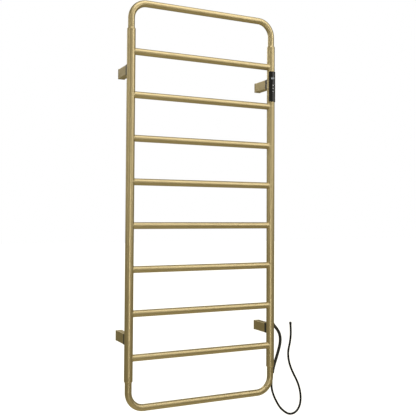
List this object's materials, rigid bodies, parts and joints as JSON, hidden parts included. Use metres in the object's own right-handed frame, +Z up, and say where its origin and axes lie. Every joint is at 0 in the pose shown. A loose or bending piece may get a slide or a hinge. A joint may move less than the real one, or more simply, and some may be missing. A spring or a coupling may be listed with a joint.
{
  "type": "towel warmer rack",
  "caption": "Wall-hung electric towel ladder: round tubes between two posts, rounded end bends, box stand-offs, a slim control unit on one post and a short supply lead.",
  "frame": {"origin": "centre of the four wall screws, on the wall plane", "axes": "+Z up along the posts, +Y into the wall (the rack stands in front of the wall towards -Y), +X to the right seen from the front"},
  "size_m": [0.6472, 0.102, 1.2939],
  "materials": {
    "brushed_gold": "satin brushed champagne gold",
    "anchor_metal": "satin cast, same gold, a little darker",
    "black_plastic": "fine moulded grain",
    "gloss_black": "polished",
    "display_glass": "smoked, polished",
    "display_dark": "dark display with pale digits",
    "board_green": "solder mask",
    "steel_hardware": "zinc plated",
    "brass": "turned",
    "foam_rubber": "closed-cell foam",
    "white_plastic": "moulded",
    "cable_silicone": "silicone jacket",
    "cord_rubber": "smooth satin jacket",
    "cord_braid": "fine black braid"
  },
  "bodies": {
    "rack": {"left_post": "brushed_gold", "right_post": "brushed_gold", "rung_1": "brushed_gold", "rung_2": "brushed_gold", "rung_3": "brushed_gold", "rung_4": "brushed_gold", "rung_5": "brushed_gold", "rung_6": "brushed_gold", "rung_7": "brushed_gold", "rung_8": "brushed_gold", "top_bend": "brushed_gold", "bottom_bend": "brushed_gold", "collar_left_top": "brushed_gold", "collar_left_bottom": "brushed_gold", "collar_right_top": "brushed_gold", "collar_right_bottom": "brushed_gold", "wall_anchor_left_top": "anchor_metal", "bracket_sleeve_left_top": "brushed_gold", "bracket_spacer_left_top": "black_plastic", "wall_anchor_left_bottom": "anchor_metal", "bracket_sleeve_left_bottom": "brushed_gold", "bracket_spacer_left_bottom": "black_plastic", "wall_anchor_right_top": "anchor_metal", "bracket_sleeve_right_top": "brushed_gold", "bracket_spacer_right_top": "black_plastic", "wall_anchor_right_bottom": "anchor_metal", "bracket_sleeve_right_bottom": "brushed_gold", "bracket_spacer_right_bottom": "black_plastic", "bracket_bolts": "steel_hardware", "threaded_inserts": "brass", "sleeve_grub_screws": "steel_hardware", "control_seal": "foam_rubber", "control_housing": "black_plastic", "control_fascia": "gloss_black", "display_window": "display_glass", "circuit_board": "board_green", "display_module": "display_dark", "key_switches": "black_plastic", "board_screws": "steel_hardware", "heating_cable": "cable_silicone", "terminal_block": "white_plastic", "supply_wire": "cable_silicone", "temperature_sensor": "white_plastic", "thermal_fuse": "steel_hardware", "earth_screw": "steel_hardware", "cable_gland": "black_plastic", "gland_nut": "steel_hardware", "cord": "cord_rubber", "cord_sleeve": "cord_braid", "cord_end_cap": "black_plastic"},
    "key_1": {"key_1": "gloss_black"},
    "key_2": {"key_2": "gloss_black"},
    "key_3": {"key_3": "gloss_black"}
  },
  "joints": [
    {"name": "key_1_press", "type": "slide", "parent": "rack", "child": "key_1", "axis": [0, 1, 0], "range_m": [0, 0.0006], "stiffness_N_per_m": 1500},
    {"name": "key_2_press", "type": "slide", "parent": "rack", "child": "key_2", "axis": [0, 1, 0], "range_m": [0, 0.0006], "stiffness_N_per_m": 1500},
    {"name": "key_3_press", "type": "slide", "parent": "rack", "child": "key_3", "axis": [0, 1, 0], "range_m": [0, 0.0006], "stiffness_N_per_m": 1500}
  ]
}
